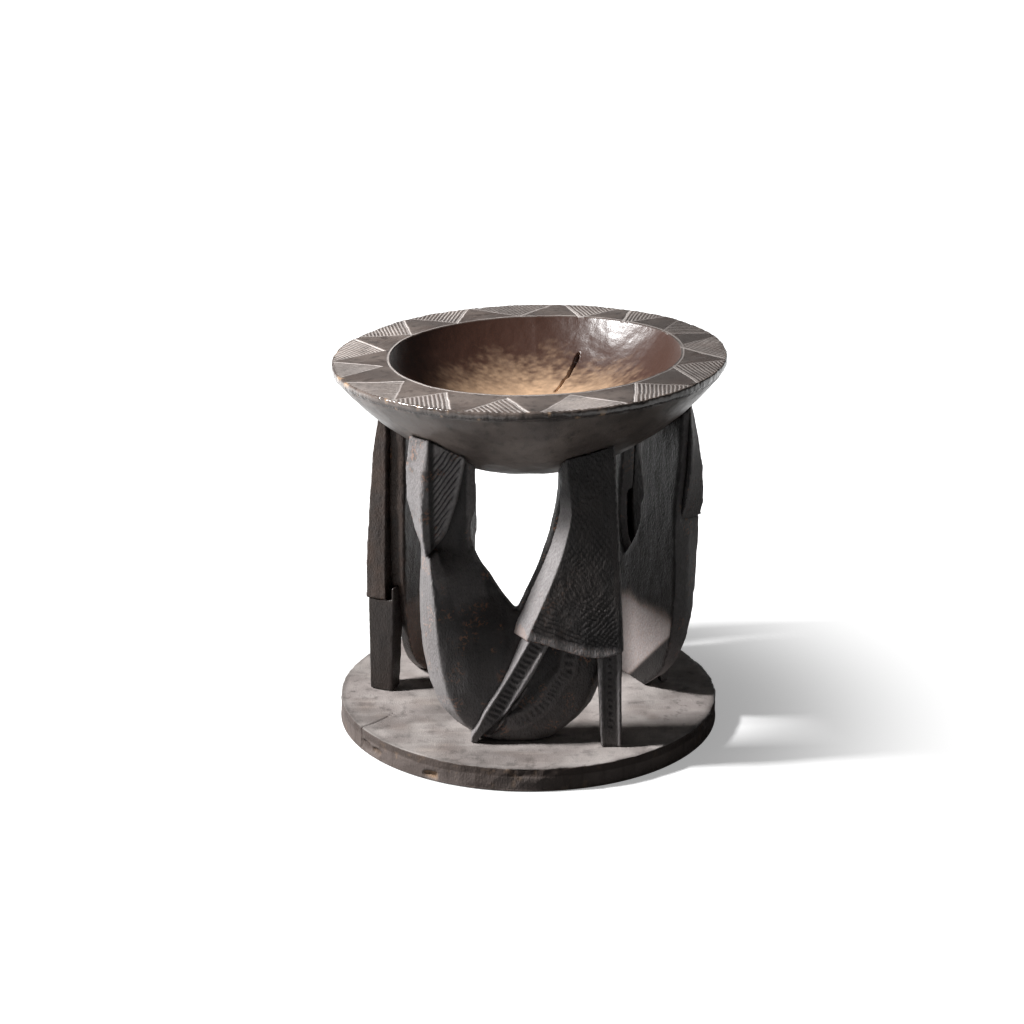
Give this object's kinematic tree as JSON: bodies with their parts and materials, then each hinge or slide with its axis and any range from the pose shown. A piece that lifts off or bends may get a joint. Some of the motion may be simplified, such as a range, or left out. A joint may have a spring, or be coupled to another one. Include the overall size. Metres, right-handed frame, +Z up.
{
  "type": "divination bowl on a figured stand",
  "caption": "Round carved wooden bowl with a wide hatched rim, held up by stylised birds on a flat disc base.",
  "frame": {"origin": "middle of the underside of the base disc", "axes": "+Z up through the bowl, -Y toward the viewer of the picture, +X to the viewer's right"},
  "size_m": [0.17, 0.17, 0.1687],
  "materials": {
    "base_wood": "dark carved hardwood, worn to a dull grey brown on top",
    "bowl_wood": "dark carved hardwood, polished by handling, with dust in the cuts",
    "bird_wood": "near-black carved hardwood with a soft sheen and worn brown spots"
  },
  "bodies": {
    "root": {"base_disc": "base_wood", "bowl": "bowl_wood", "front_body": "bird_wood", "left_body": "bird_wood", "right_body": "bird_wood", "front_head": "bird_wood", "left_head": "bird_wood", "right_head": "bird_wood", "front_wing": "bird_wood", "left_wing": "bird_wood", "right_wing": "bird_wood", "front_fore_leg": "bird_wood", "left_fore_leg": "bird_wood", "right_fore_leg": "bird_wood", "front_hind_leg": "bird_wood", "left_hind_leg": "bird_wood", "right_hind_leg": "bird_wood"}
  },
  "joints": []
}
